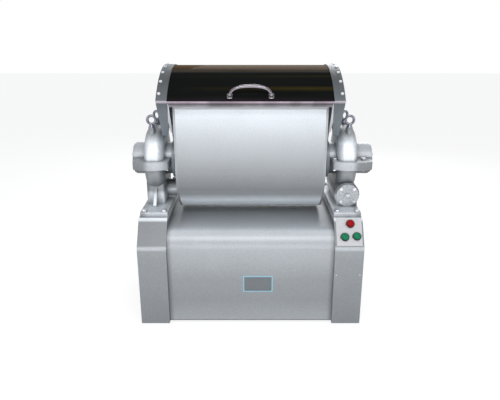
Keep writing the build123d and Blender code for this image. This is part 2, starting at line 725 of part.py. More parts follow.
def bearing_cover_bolts():
    bolts = []
    for side, boss_out in ((-1, LEFT_BOSS_OUT), (1, RIGHT_BOSS_OUT)):
        for k in range(6):
            a = math.radians(30 + 60 * k)
            y, z = COVER_BOLT_CIRCLE_R * math.cos(a), COVER_BOLT_CIRCLE_R * math.sin(a)
            spot = Plane((side * (boss_out + COVER_PLATE_T), y, AXIS_Z + z), z_dir=(side, 0, 0))
            bolts.append(spot * hex_head(COVER_BOLT_R, COVER_BOLT_H))
    return grouped(bolts)


def flange_bolts():
    """Bolts through both layers, with nuts on the right and screwed into the cap on the left."""
    bolts = []
    reach = FLANGE_T + FLANGE_NUT_H + 2
    for x, y in flange_bolt_spots():
        head = Pos(0, 0, FLANGE_T) * hex_head(FLANGE_NUT_R, FLANGE_HEAD_H)
        right = rod_z(-reach, FLANGE_T, FLANGE_BOLT_R) + head
        left = mirror(rod_z(-FLANGE_T, FLANGE_T, FLANGE_BOLT_R) + head, Plane.XY)
        nut = hex_head(FLANGE_NUT_R, FLANGE_NUT_H) - Cylinder(FLANGE_BOLT_R, 60)
        bolts += [Pos(-x, y, AXIS_Z) * left, Pos(x, y, AXIS_Z) * right,
                  Pos(x, y, AXIS_Z - FLANGE_T - FLANGE_NUT_H) * nut]
    return grouped(bolts)


def base_bolts():
    bolts = []
    for side in (-1, 1):
        for x, y in base_bolt_spots():
            bolt = rod_z(PEDESTAL_H, PLATE_TOP, FLANGE_BOLT_R) + Pos(0, 0, PLATE_TOP) * hex_head(
                BASE_BOLT_HEAD_R, FLANGE_HEAD_H)
            bolts.append(Pos(side * x, y, 0) * bolt)
    return grouped(bolts)


def eye_bolt(turn=0.0):
    """A collar with an upright ring on it, standing at the origin."""
    collar = Cone(15, 11, 10, align=(Align.CENTER, Align.CENTER, Align.MIN))
    stem = Pos(0, 0, 8) * Cylinder(9, 8, align=(Align.CENTER, Align.CENTER, Align.MIN))
    ring = Pos(0, 0, 10 + EYE_R + EYE_ROD_R - 2) * Rot(X=90) * Torus(EYE_R, EYE_ROD_R)
    return Rot(Z=turn) * (collar + stem + ring)


def eye_bolts(side):
    spots = ((-EYE_Y, 0.0), (EYE_Y, REAR_EYE_TURN * side))
    return grouped([Pos(side * EYE_X, y, AXIS_Z + EYE_BOSS_TOP) * eye_bolt(turn)
                    for y, turn in spots])


# Bushes and shafts

def bush(x0, x1, r_in, r_out, z=AXIS_Z):
    return ring_x(x0, x1, r_out, r_in + RUN, 0, z)


def inner_bush(side):
    return bush(side * NOSE_IN, side * (CASE_IN + CASE_WALL), JOURNAL_R, SEAT_R)


def right_outer_bush():
    return bush(CASE_OUT - CASE_WALL, RIGHT_BOSS_OUT, JOURNAL_R, SEAT_R)


def left_outer_bearing():
    return bush(-LEFT_BOSS_OUT, -CASE_OUT + CASE_WALL, SHAFT_R, SEAT_R)


def pinion_bush():
    return bush(-PINION_BOSS_IN, -CASE_IN - CASE_WALL, PINION_SHAFT_R, PINION_SHAFT_R + BUSH_T,
                PINION_Z)


def pinion_shaft():
    return rod_x(-PINION_BOSS_IN - 3, -PULLEY_IN - PULLEY_W, PINION_SHAFT_R, 0, PINION_Z)


def motor_shaft():
    start = -GEARBOX_OUT + MOTOR_BORE_L - 2
    return rod_x(start, -PULLEY_IN - PULLEY_W - 2, MOTOR_SHAFT_R, 0, MOTOR_Z)


# Bowl, drawn about the axis

def bowl_face(r, top):
    """A U: upright walls over a half circle, in (y, z)."""
    bottom = ThreePointArc((-r, 0), (0, -r), (r, 0))
    return make_face([bottom, Polyline((r, 0), (r, top), (-r, top), (-r, 0))])


def bowl_trough():
    half = BOWL_HALF_L - END_T
    body = along_x(bowl_face(BOWL_R + TROUGH_T, BOWL_TOP), -half, half)
    return up(body - along_x(bowl_face(BOWL_R, BOWL_TOP + 1), -half - 1, half + 1))


def bowl_jacket():
    body = along_x(bowl_face(BOWL_OUT_R, BOWL_TOP), -BOWL_HALF_L + END_T, BOWL_HALF_L - END_T)
    inner = along_x(bowl_face(BOWL_R + TROUGH_T, BOWL_TOP + 1), -BOWL_HALF_L, BOWL_HALF_L)
    return up(body - inner)


def bowl_end(side):
    x0, x1 = side * (BOWL_HALF_L - END_T), side * BOWL_HALF_L
    plate = along_x(bowl_face(BOWL_OUT_R, BOWL_TOP), min(x0, x1), max(x0, x1))
    return up(plate - rod_x(x0 - side, x1 + side, SHAFT_R + SEAL_W))


def rim_shape(half_x, half_y, top_x, top_y):
    """A lip that starts straight and then flares out."""
    return Pos(0, 0, BOWL_TOP) * loft([
        Rectangle(2 * half_x, 2 * half_y),
        Pos(0, 0, RIM_STEP) * Rectangle(2 * half_x + 2, 2 * half_y + 12),
        Pos(0, 0, RIM_RISE) * Rectangle(2 * top_x, 2 * top_y)])


def bowl_rim():
    """A rolled lip that flares out all round the mouth."""
    half_x = BOWL_HALF_L + RIM_FLARE_X
    outer = rim_shape(BOWL_HALF_L, BOWL_OUT_R, half_x, RIM_OUT_Y)
    return up(outer - rim_shape(BOWL_HALF_L - END_T, BOWL_R, half_x - RIM_T, RIM_OUT_Y - RIM_T))


def trunnion_flange(side):
    return rod_x(side * BOWL_HALF_L, side * (BOWL_HALF_L + TRUNNION_FLANGE_T), TRUNNION_FLANGE_R)


def left_trunnion():
    end = CASE_IN + CASE_WALL + 4
    body = trunnion_flange(-1) + rod_x(-BOWL_HALF_L, -end, JOURNAL_R)
    return up(body - rod_x(-BOWL_HALF_L + 1, -end - 1, SHAFT_R + BUSH_T))


def right_trunnion():
    body = trunnion_flange(1) + rod_x(BOWL_HALF_L, RIGHT_TRUNNION_END, JOURNAL_R)
    return up(body - rod_x(BOWL_HALF_L - 1, BOWL_HALF_L + TRUNNION_BORE, SHAFT_R + BUSH_T))


def shaft_bush(side):
    return bush(side * (BOWL_HALF_L + SHAFT_BUSH_START), side * (BOWL_HALF_L + SHAFT_BUSH_END),
                SHAFT_R, SHAFT_R + BUSH_T)


def shaft_seal(side):
    return bush(side * (BOWL_HALF_L - END_T), side * BOWL_HALF_L, SHAFT_R, SHAFT_R + SEAL_W)


def trunnion_bolts():
    bolts = []
    for side in (-1, 1):
        for k in range(8):
            a = math.radians(22.5 + 45 * k)
            y, z = TRUNNION_BOLT_CIRCLE_R * math.cos(a), TRUNNION_BOLT_CIRCLE_R * math.sin(a)
            spot = Plane((side * (BOWL_HALF_L + TRUNNION_FLANGE_T), y, AXIS_Z + z), z_dir=(side, 0, 0))
            bolts.append(spot * hex_head(TRUNNION_BOLT_R, TRUNNION_BOLT_H))
    return grouped(bolts)


# Agitator

def agitator_shaft():
    return up(rod_x(-LEFT_BOSS_OUT + 3, BOWL_HALF_L + SHAFT_BUSH_END + SHAFT_END_GAP, SHAFT_R))


def agitator_arm(side):
    """A two-ended arm, thick at the hub and slim at the blades."""
    inner = BOWL_HALF_L - END_T - ARM_GAP
    tip = BLADE_R - 8
    ends = [Circle(ARM_HUB_R), Pos(0, tip) * Circle(ARM_TIP_R), Pos(0, -tip) * Circle(ARM_TIP_R)]
    face = make_hull([edge for end in ends for edge in end.edges()]) - Circle(SHAFT_R)
    x0 = -inner if side < 0 else inner - ARM_T
    arm = along_x(face, x0, x0 + ARM_T)
    return up(Rot(X=side * BLADE_TWIST / 2) * arm)


def agitator_blades():
    """Two bars that twist from one arm to the other, as the dough is thrown along the bowl."""
    half = BOWL_HALF_L - END_T - ARM_GAP - ARM_T
    steps = 6
    bars = []
    for start in (0, 180):
        sections = []
        for k in range(steps + 1):
            x = -half + 2 * half * k / steps
            turn = start + BLADE_TWIST * (k / steps - 0.5)
            bar = Pos(0, BLADE_R) * RectangleRounded(BLADE_W, BLADE_T, BLADE_EDGE_R)
            sections.append(Plane.YZ.offset(x) * Rot(Z=turn) * bar)
        bars.append(loft(sections))
    return grouped([up(bar) for bar in bars])


# Lid, drawn about the axis with its middle at the top

def sector(points, arc=LID_ARC):
    return turned(points, arc, 90 - arc / 2)


def lid_sheet():
    half = LID_SHEET_HALF + LID_LAP
    outer, inner = LID_R, LID_R - LID_T
    sheet = sector([(-half, inner), (half, inner), (half, outer), (-half, outer)])
    lip_arc = math.degrees(LID_T / LID_R)
    wide = LID_SHEET_HALF - 4
    lip = [(-wide, LIP_R), (wide, LIP_R), (wide, inner), (-wide, inner)]
    lips = turned(lip, lip_arc, 90 - LID_ARC / 2) + turned(lip, lip_arc, 90 + LID_ARC / 2 - lip_arc)
    return up(sheet + lips)


def lid_band(side):
    x0, x1 = side * LID_SHEET_HALF, side * BAND_OUT
    band = sector([(x0, LID_R), (x1, LID_R), (x1, LID_R + BAND_T), (x0, LID_R + BAND_T)])
    return up(band)


def lid_side(side):
    """A hollow wedge-shaped side, with an arm down to the hub that turns on the housing."""
    top = LID_R - LID_T
    head_in, foot_in = LID_SHEET_HALF - 4, SIDE_FOOT_IN
    outer = [(head_in, top), (BAND_OUT, top), (SIDE_FOOT_OUT, SIDE_FOOT_R), (foot_in, SIDE_FOOT_R)]
    t = SIDE_T
    inner = [(head_in + t, top - t), (BAND_OUT - t, top - t), (SIDE_FOOT_OUT - t, SIDE_FOOT_R + t),
             (foot_in + t, SIDE_FOOT_R + t)]
    closing = 1.6
    shell = sector(outer) - sector(inner, LID_ARC - closing)
    rim = [(LID_SHEET_HALF + LID_LAP, top), (BAND_OUT, top), (BAND_OUT, LID_R),
           (LID_SHEET_HALF + LID_LAP, LID_R)]
    shell += sector(rim)
    x0, tall = NOSE_IN + HUB_GAP, ARM_PLATE_TOP
    arm = sector([(x0, NOSE_R + 6), (x0 + ARM_PLATE_T, NOSE_R + 6), (x0 + ARM_PLATE_T, tall),
                  (x0, tall)], ARM_ARC)
    arm &= along_x(make_hull([*Circle(HUB_R).edges(),
                              *(Pos(0, tall) * Rectangle(240, 20)).edges()]), x0 - 1, x0 + 20)
    hub = ring_x(x0, x0 + HUB_T, HUB_R, NOSE_R + 4)
    body = shell + arm + hub - sector(inner, LID_ARC - closing)
    body -= rod_x(x0 - 5, x0 + 30, NOSE_R + RUN)
    body += ring_x(x0, x0 + HUB_T, HUB_R, NOSE_R + RUN)
    body = up(body)
    return body if side > 0 else other_side(body)


def lid_handle():
    """A bow of round bar that stands on two feet on the lid's front."""
    a = math.radians(HANDLE_ANGLE)
    y, z = -LID_R * math.sin(a), LID_R * math.cos(a)
    h, w, r = HANDLE_RISE, HANDLE_HALF, HANDLE_ROD_R
    bend = w - HANDLE_SLANT
    path = FilletPolyline((-w, 0, -12), (-w, 0, h * 0.5), (-bend, 0, h - r), (bend, 0, h - r),
                          (w, 0, h * 0.5), (w, 0, -12), radius=HANDLE_BEND_R)
    bow = sweep(Plane(path @ 0, z_dir=path % 0) * Circle(r), path=path)
    drum = rod_x(-PEDESTAL_OUT, PEDESTAL_OUT, LID_R)
    handle = Pos(0, y, z) * bow - drum
    for s in (-1, 1):
        handle += Rot(X=HANDLE_ANGLE) * Pos(s * w, 0, LID_R + 3) * Box(24, 30, 8) - drum
    return up(handle)


def lid_bolts():
    """Round heads along the outer edge of each band."""
    bolts = []
    for side in (-1, 1):
        for k in range(LID_BOLTS):
            turn = -LID_ARC / 2 + 5 + k * (LID_ARC - 10) / (LID_BOLTS - 1)
            head = Pos(side * (BAND_OUT - LID_BOLT_INSET), 0, LID_R + BAND_T) * Cylinder(
                LID_BOLT_R, LID_BOLT_H, align=(Align.CENTER, Align.CENTER, Align.MIN))
            bolts.append(up(Rot(X=turn) * head))
    return grouped(bolts)


nodes = {
    "left_pedestal": left_pedestal(),
    "right_pedestal": right_pedestal(),
    "base_cover": base_cover(),
    "rear_panel": rear_panel(),
    "base_frame": base_frame(),
    "motor_bed": motor_bed(),
    "drive_gearbox": gearbox(),
    "drive_motor": drive_motor(),
    "drive_belt": belt(),
    "left_lower_housing": left_lower_housing(),
    "right_lower_housing": right_lower_housing(),
    "left_housing_cap": other_side(cap(LEFT_BOSS_OUT)),
    "right_housing_cap": cap(RIGHT_BOSS_OUT),
    "bearing_covers": grouped([bearing_cover(LEFT_BOSS_OUT, -1),
                               bearing_cover(RIGHT_BOSS_OUT, 1)]),
    "bearing_cover_bolts": bearing_cover_bolts(),
    "worm_front_cover": worm_cover(-1),
    "worm_rear_cover": worm_cover(1),
    "worm_cover_bolts": worm_cover_bolts(),
    "tilt_motor": tilt_motor(),
    "flange_bolts": flange_bolts(),
    "base_bolts": base_bolts(),
    "left_eye_bolts": eye_bolts(-1),
    "right_eye_bolts": eye_bolts(1),
    "trunnion_bushes": grouped([inner_bush(-1), inner_bush(1), right_outer_bush()]),
    "left_shaft_bearing": left_outer_bearing(),
    "pinion_bush": pinion_bush(),
    "control_plate": control_plate(),
    "button_bezels": grouped([bezel(name) for name in BUTTONS]),
    "switch_bodies": grouped([switch(name) for name in BUTTONS]),
    "bowl_trough": bowl_trough(),
    "bowl_jacket": bowl_jacket(),
    "bowl_left_end": bowl_end(-1),
    "bowl_right_end": bowl_end(1),
    "bowl_rim": bowl_rim(),
    "left_trunnion": left_trunnion(),
    "right_trunnion": right_trunnion(),
    "trunnion_bolts": trunnion_bolts(),
    "shaft_bushes": grouped([shaft_bush(-1), shaft_bush(1)]),
    "shaft_seals": grouped([shaft_seal(-1), shaft_seal(1)]),
    "worm_wheel": worm_wheel(),
    "worm": worm(),
    "agitator_shaft": agitator_shaft(),
    "agitator_arms": grouped([agitator_arm(-1), agitator_arm(1)]),
    "agitator_blades": agitator_blades(),
    "main_gear": main_gear(),
    "pinion_shaft": pinion_shaft(),
    "pinion": pinion(),
    "pinion_pulley": pulley(BIG_PULLEY_R, PINION_Z, PINION_SHAFT_R),
    "motor_shaft": motor_shaft(),
    "motor_pulley": pulley(SMALL_PULLEY_R, MOTOR_Z, MOTOR_SHAFT_R),
    "lid_sheet": lid_sheet(),
    "left_lid_side": lid_side(-1),
    "right_lid_side": lid_side(1),
    "lid_bands": grouped([lid_band(-1), lid_band(1)]),
    "lid_bolts": lid_bolts(),
    "lid_handle": lid_handle(),
}
for name in BUTTONS:
    nodes[name] = button(name)

os.makedirs("parts", exist_ok=True)
for name, shape in nodes.items():
    export_step(shape, f"parts/{name}.step")
print(len(nodes), "parts")
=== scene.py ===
import math

import bmesh
import bpy
from mathutils import Matrix, Vector


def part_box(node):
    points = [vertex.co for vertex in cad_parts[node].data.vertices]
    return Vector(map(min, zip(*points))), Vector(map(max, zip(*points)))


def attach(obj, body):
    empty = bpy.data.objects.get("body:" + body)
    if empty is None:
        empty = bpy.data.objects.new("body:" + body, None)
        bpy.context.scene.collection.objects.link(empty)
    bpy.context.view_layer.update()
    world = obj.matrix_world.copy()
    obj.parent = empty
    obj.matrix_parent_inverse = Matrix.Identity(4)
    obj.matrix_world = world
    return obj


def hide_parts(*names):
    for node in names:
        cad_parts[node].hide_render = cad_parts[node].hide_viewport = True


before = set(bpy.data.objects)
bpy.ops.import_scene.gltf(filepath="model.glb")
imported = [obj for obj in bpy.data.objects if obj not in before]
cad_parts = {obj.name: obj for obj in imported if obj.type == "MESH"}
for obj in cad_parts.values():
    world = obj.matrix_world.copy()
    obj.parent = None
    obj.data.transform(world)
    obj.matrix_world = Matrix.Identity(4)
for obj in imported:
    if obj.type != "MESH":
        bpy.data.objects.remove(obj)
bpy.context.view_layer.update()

# Places shared with the frame, in metres
AXIS_Z = 0.744
LID_R = 0.456
BOWL_TOP_Z = AXIS_Z + 0.285
PEDESTAL_MID = 0.462
KNEE = Vector((0, -0.350, 0.394))       # foot of the sloped control panel
SLOPE_END = Vector((0, -0.265, 0.515))
PANEL_T = 0.003
COVER_FRONT_Y = -0.335
REAR_PANEL_Y = 0.337
WORM_X = 0.472
WORM_Z = 0.594
HANDLE_TURN = math.radians(41.5)        # from the lid's middle, towards the front
HANDLE_HALF = 0.090
HANDLE_OUT = Vector((0, -math.sin(HANDLE_TURN), math.cos(HANDLE_TURN)))
FRONT = Vector((0, -1, 0))
BACK = -FRONT
LEFTWARD = Vector((-1, 0, 0))

TINT = (0.93, 0.99, 1.045)              # the grey enamel's cast
FOCAL_PX = 525.0
IMAGE_W = 500.0
PITCH = 18.0


# Node helpers

def new_material(name):
    mat = bpy.data.materials.new(name)
    mat.use_nodes = True
    tree = mat.node_tree
    shader = tree.nodes["Principled BSDF"]
    return mat, tree, shader


def node(tree, kind, **values):
    made = tree.nodes.new(kind)
    for key, value in values.items():
        if key in made.inputs:
            made.inputs[key].default_value = value
        else:
            setattr(made, key, value)
    return made


def object_place(tree, scale=(1, 1, 1)):
    """The place on the surface in metres, stretched by scale."""
    coords = node(tree, "ShaderNodeTexCoord")
    mapping = node(tree, "ShaderNodeMapping")
    mapping.inputs["Scale"].default_value = scale
    tree.links.new(coords.outputs["Object"], mapping.inputs["Vector"])
    return mapping.outputs["Vector"]


def noise(tree, vector, scale, detail=3.0, rough=0.5):
    made = node(tree, "ShaderNodeTexNoise", Scale=scale, Detail=detail, Roughness=rough)
    tree.links.new(vector, made.inputs["Vector"])
    return made.outputs["Fac"]


def ramp(tree, factor, stops):
    """A colour ramp from (position, colour) pairs."""
    made = node(tree, "ShaderNodeValToRGB")
    elements = made.color_ramp.elements
    while len(elements) < len(stops):
        elements.new(0.5)
    for element, (position, colour) in zip(elements, stops):
        element.position = position
        element.color = (*colour, 1.0)
    tree.links.new(factor, made.inputs["Fac"])
    return made.outputs["Color"]


def grey(value):
    return (value, value, value)


def even(tree, colour):
    """One colour, to be blended with others."""
    made = node(tree, "ShaderNodeRGB")
    made.outputs[0].default_value = (*colour, 1.0)
    return made.outputs[0]


def between(tree, factor, low, high):
    """Turns 0 to 1 into low to high."""
    made = node(tree, "ShaderNodeMapRange")
    made.inputs["To Min"].default_value = low
    made.inputs["To Max"].default_value = high
    tree.links.new(factor, made.inputs["Value"])
    return made.outputs["Result"]


def maths(tree, operation, first, second=None):
    """A Math node, fed by sockets or plain numbers."""
    made = node(tree, "ShaderNodeMath", operation=operation)
    for socket, value in zip(made.inputs, (first, second)):
        if isinstance(value, (int, float)):
            socket.default_value = value
        elif value is not None:
            tree.links.new(value, socket)
    return made.outputs[0]


def spread(tree, value, low, high):
    """Turns low to high into 0 to 1."""
    made = node(tree, "ShaderNodeMapRange")
    made.inputs["From Min"].default_value = low
    made.inputs["From Max"].default_value = high
    tree.links.new(value, made.inputs["Value"])
    return made.outputs["Result"]


def coordinate(tree, axis):
    split = node(tree, "ShaderNodeSeparateXYZ")
    tree.links.new(object_place(tree), split.inputs["Vector"])
    return split.outputs[axis]


def mixed(tree, kind, a, b, factor=1.0):
    made = node(tree, "ShaderNodeMix", data_type="RGBA", blend_type=kind)
    made.inputs["Factor"].default_value = factor
    tree.links.new(a, made.inputs["A"])
    tree.links.new(b, made.inputs["B"])
    return made.outputs["Result"]


def blend(tree, factor, a, b):
    """a where the factor is 0, b where it is 1."""
    made = node(tree, "ShaderNodeMix", data_type="RGBA")
    tree.links.new(factor, made.inputs["Factor"])
    tree.links.new(a, made.inputs["A"])
    tree.links.new(b, made.inputs["B"])
    return made.outputs["Result"]


def bump(tree, shader, height, strength, distance):
    made = node(tree, "ShaderNodeBump", Strength=strength, Distance=distance)
    tree.links.new(height, made.inputs["Height"])
    tree.links.new(made.outputs["Normal"], shader.inputs["Normal"])


def toned(tree, axis, stops):
    """A grey level that follows a place in metres, from (place, level) pairs."""
    low, high = stops[0][0], stops[-1][0]
    value = spread(tree, coordinate(tree, axis), low, high)
    return ramp(tree, value, [((place - low) / (high - low), grey(level)) for place, level in stops])


def away(tree, axis, start, end):
    """1 up to start from the middle along an axis, falling to 0 at end."""
    return spread(tree, maths(tree, "ABSOLUTE", coordinate(tree, axis)), end, start)


def hammered_paint(name, tint, tone_and_painted_shade, metallic=0.3, rough=0.42, mottle=1.0):
    """Silver-grey hammered enamel: dapples over faint clouding, times grey ramps by place which on most parts
    paint shade and highlights.
    """
    mat, tree, shader = new_material(name)
    place = object_place(tree)
    dapple = noise(tree, place, 150.0, 2.5, 0.75)
    cloud = noise(tree, place, 7.0, 4.0, 0.6)
    low, high = 1 - 0.14 * mottle, 1.0
    fleck = ramp(tree, dapple, [(0.34, grey(low)), (0.66, grey(high))])
    clouding = ramp(tree, cloud, [(0.3, grey(0.95)), (0.7, grey(1.0))])
    colour = mixed(tree, "MULTIPLY", mixed(tree, "MULTIPLY", fleck, clouding), even(tree, tint))
    for shade in tone_and_painted_shade(tree):
        colour = mixed(tree, "MULTIPLY", colour, shade)
    tree.links.new(colour, shader.inputs["Base Color"])
    shader.inputs["Metallic"].default_value = metallic
    tree.links.new(between(tree, dapple, rough - 0.08, rough + 0.12), shader.inputs["Roughness"])
    bump(tree, shader, dapple, 0.5, 0.0008)
    return mat


def brushed(name, base, rough=0.28, along=(1.0, 60.0, 60.0), metallic=1.0, tone_and_painted_shade=None):
    """Brushed or machined metal: fine lines drawn out along one direction."""
    mat, tree, shader = new_material(name)
    lines = noise(tree, object_place(tree, along), 24.0, 5.0, 0.65)
    stain = noise(tree, object_place(tree), 9.0, 3.0, 0.5)
    colour = ramp(tree, lines, [(0.3, tuple(c * 0.82 for c in base)), (0.7, base)])
    colour = mixed(tree, "MULTIPLY", colour, ramp(tree, stain, [(0.3, grey(0.9)), (0.75, grey(1.0))]))
    for shade in tone_and_painted_shade(tree) if tone_and_painted_shade else ():
        colour = mixed(tree, "MULTIPLY", colour, shade)
    tree.links.new(colour, shader.inputs["Base Color"])
    shader.inputs["Metallic"].default_value = metallic
    tree.links.new(between(tree, lines, rough * 0.8, rough * 1.3), shader.inputs["Roughness"])
    bump(tree, shader, lines, 0.08, 0.0003)
    return mat


def plastic(name, base, rough=0.3, grain=500.0, shine=0.5):
    """Moulded plastic or rubber with a fine grain and faint wear."""
    mat, tree, shader = new_material(name)
    fine = noise(tree, object_place(tree), grain, 2.0)
    wear = noise(tree, object_place(tree), 60.0, 4.0)
    colour = ramp(tree, wear, [(0.3, tuple(c * 0.85 for c in base)), (0.7, base)])
    tree.links.new(colour, shader.inputs["Base Color"])
    tree.links.new(between(tree, wear, rough, rough + 0.15), shader.inputs["Roughness"])
    shader.inputs["Specular IOR Level"].default_value = shine
    bump(tree, shader, fine, 0.1, 0.0002)
    return mat


def lid_polar(tree):
    """How far a place lies past the lid's 45 degree edges, and its distance from the lid's axis."""
    split = node(tree, "ShaderNodeSeparateXYZ")
    tree.links.new(object_place(tree), split.inputs["Vector"])
    size = maths(tree, "ABSOLUTE", split.outputs["Y"])
    height = maths(tree, "SUBTRACT", split.outputs["Z"], AXIS_Z)
    flat = node(tree, "ShaderNodeCombineXYZ")
    tree.links.new(size, flat.inputs["X"])
    tree.links.new(height, flat.inputs["Y"])
    length = node(tree, "ShaderNodeVectorMath", operation="LENGTH")
    tree.links.new(flat.outputs["Vector"], length.inputs[0])
    return maths(tree, "SUBTRACT", size, height), length.outputs["Value"]


def edge_face(tree):
    """1 on the cut faces of the lid's front and back edges, with the distance from the lid's axis."""
    past, radius = lid_polar(tree)
    return spread(tree, past, -0.0040, -0.0012), radius


def edge_fold(tree, inner=0.4465):
    """1 along the outer rim of the lid's front and back edges, 0 elsewhere."""
    face, radius = edge_face(tree)
    return maths(tree, "MULTIPLY", face, spread(tree, radius, inner - 0.001, inner + 0.001))


def faces_middle(tree):
    """1 on faces that look across towards the middle of the machine, 0 elsewhere."""
    coords = node(tree, "ShaderNodeTexCoord")
    split = node(tree, "ShaderNodeSeparateXYZ")
    tree.links.new(coords.outputs["Normal"], split.inputs["Vector"])
    side = maths(tree, "SIGN", coordinate(tree, "X"))
    return spread(tree, maths(tree, "MULTIPLY", split.outputs["X"], side), -0.5, -0.7)


def lid_mirror():
    """The mirror sheet's look, painted by place under a thin clear coat: its reflections are painted.

    Black, with a painted reflection as a brown strip at the crown, painted olive reflection streaks and a
    painted highlight along the fold of its edges.
    """
    mat, tree, shader = new_material("lid_mirror")
    black = (0.0060, 0.0070, 0.0065)
    low, high = -0.330, 0.0

    def place(y):
        return (y - low) / (high - low)

    both_sides = maths(tree, "MULTIPLY", maths(tree, "ABSOLUTE", coordinate(tree, "Y")), -1.0)
    across = spread(tree, both_sides, low, high)
    # Painted reflections: black with a brown strip at the crown
    painted_reflection_bands = ramp(tree, across, [
        (0.0, (0.020, 0.014, 0.018)), (place(-0.300), black), (place(-0.150), black),
        (place(-0.136), (0.042, 0.036, 0.030)), (place(-0.112), (0.060, 0.047, 0.032)),
        (place(-0.085), (0.075, 0.042, 0.018)), (place(-0.045), (0.120, 0.074, 0.038)),
        (place(-0.015), (0.11, 0.074, 0.042)), (1.0, (0.055, 0.040, 0.026))])
    # Painted reflections: faint olive streaks across the front
    streaks = ramp(tree, across, [
        (place(-0.279), black), (place(-0.262), (0.036, 0.027, 0.006)), (place(-0.247), black),
        (place(-0.194), black), (place(-0.182), (0.021, 0.019, 0.006)), (place(-0.170), black),
        (place(-0.162), (0, 0, 0))])
    side = spread(tree, coordinate(tree, "X"), -0.32, 0.20)
    patches = noise(tree, object_place(tree, (1.0, 0.1, 0.1)), 6.0, 3.0)
    amount = maths(tree, "MULTIPLY", side, between(tree, patches, 0.5, 1.3))
    lit = node(tree, "ShaderNodeMix", data_type="RGBA", blend_type="LIGHTEN")
    tree.links.new(amount, lit.inputs["Factor"])
    tree.links.new(painted_reflection_bands, lit.inputs["A"])
    tree.links.new(streaks, lit.inputs["B"])
    smear = noise(tree, object_place(tree, (0.5, 6.0, 6.0)), 8.0, 4.0)
    colour = mixed(tree, "MULTIPLY", lit.outputs["Result"],
                   ramp(tree, smear, [(0.3, grey(0.7)), (0.7, grey(1.0))]))
    face, radius = edge_face(tree)
    # Painted highlights and reflections on the cut faces of the edges, by distance from the axis
    painted_edge_highlight = ramp(tree, spread(tree, radius, 0.418, 0.458), [
        (0.0, (0.42, 0.42, 0.46)), (0.30, (0.36, 0.35, 0.38)), (0.52, (0.20, 0.18, 0.20)),
        (0.68, (0.25, 0.22, 0.25)), (0.74, (0.64, 0.52, 0.61)), (1.0, (0.68, 0.56, 0.65))])
    patches = noise(tree, object_place(tree, (1.0, 0.3, 0.3)), 14.0, 4.0)
    painted_edge_highlight = mixed(tree, "MULTIPLY", painted_edge_highlight, ramp(tree, patches, [(0.35, grey(0.62)), (0.62, grey(1.0))]))
    colour = blend(tree, face, colour, painted_edge_highlight)
    tree.links.new(colour, shader.inputs["Base Color"])
    shader.inputs["Metallic"].default_value = 0.0
    shader.inputs["Specular IOR Level"].default_value = 0.0
    shader.inputs["Coat Weight"].default_value = 0.04
    shader.inputs["Coat Roughness"].default_value = 0.06
    tree.links.new(between(tree, smear, 0.06, 0.14), shader.inputs["Roughness"])
    return mat


def rim_chrome():
    """Polished cove round the bowl's mouth, with painted reflections: light and dark bands painted by height.
    """
    mat, tree, shader = new_material("rim_chrome")
    low, high = BOWL_TOP_Z - 0.0015, BOWL_TOP_Z + 0.0255
    level = spread(tree, coordinate(tree, "Z"), low, high)
    colour = ramp(tree, level, [
        (0.0, grey(0.30)), (0.13, (0.36, 0.34, 0.40)), (0.18, grey(1.0)), (0.38, grey(1.0)),
        (0.47, (0.52, 0.50, 0.58)), (0.58, (0.33, 0.33, 0.36)), (0.85, (0.26, 0.25, 0.28)),
        (0.96, (0.70, 0.64, 0.70)), (1.0, (0.78, 0.74, 0.78))])
    smear = noise(tree, object_place(tree, (1.0, 14.0, 14.0)), 12.0, 5.0)
    colour = mixed(tree, "MULTIPLY", colour, ramp(tree, smear, [(0.32, grey(0.72)), (0.6, grey(1.0))]))
    tree.links.new(colour, shader.inputs["Base Color"])
    shader.inputs["Metallic"].default_value = 0.35
    tree.links.new(between(tree, smear, 0.10, 0.2), shader.inputs["Roughness"])
    return mat


# Tones of the enamel by place in metres, as lists of grey levels to multiply: on most parts, painted shade
# and painted highlights

def panel_painted_shade(tree):
    # Painted light on the bowl's front: shade round its middle, lighter towards the top, and a painted
    # reflection of the base cover's crown low down
    return [toned(tree, "Z", [
        (0.500, 0.95), (0.545, 0.98), (0.574, 1.0), (0.597, 0.60), (0.612, 0.37), (0.640, 0.28),
        (0.694, 0.30), (0.744, 0.30), (0.790, 0.37), (0.837, 0.44), (0.884, 0.52), (0.930, 0.62),
        (0.974, 0.73), (1.019, 1.0), (1.024, 0.62), (1.029, 0.55)])]


def cover_painted_shade(tree):
    # Painted shade: the cover darkens towards its ends beside the pedestals
    painted_shade_by_pedestals = between(tree, away(tree, "X", 0.372, 0.393), 0.55, 1.0)
    # Painted shade under the bowl at the crown, with a painted highlight along the front shoulder
    return [painted_shade_by_pedestals, toned(tree, "Z", [
        (0.0, 0.40), (0.02, 0.38), (0.12, 0.30), (0.225, 0.32), (0.330, 0.41), (0.379, 0.44),
        (0.410, 0.42), (0.426, 0.41), (0.445, 0.48), (0.459, 0.65), (0.470, 0.47), (0.476, 0.34),
        (0.482, 0.25), (0.486, 0.24)])]


def pedestal_painted_shade(tree):
    # Painted shade on the pedestals, with painted highlights along the knee of the slope and the bevel at the
    # top
    return [toned(tree, "Z", [
        (0.0, 0.25), (0.13, 0.28), (0.335, 0.31), (0.378, 0.33), (0.390, 0.55), (0.396, 0.42),
        (0.404, 0.21), (0.470, 0.20), (0.498, 0.20), (0.506, 0.60), (0.515, 0.62)])]


def painted_crease_shade(tree, reach, depth):
    """Painted shade in the corners and creases of a casting, from ambient occlusion."""
    made = node(tree, "ShaderNodeAmbientOcclusion", Distance=reach)
    return ramp(tree, made.outputs["AO"], [(0.35, grey(depth)), (0.85, grey(1.0))])


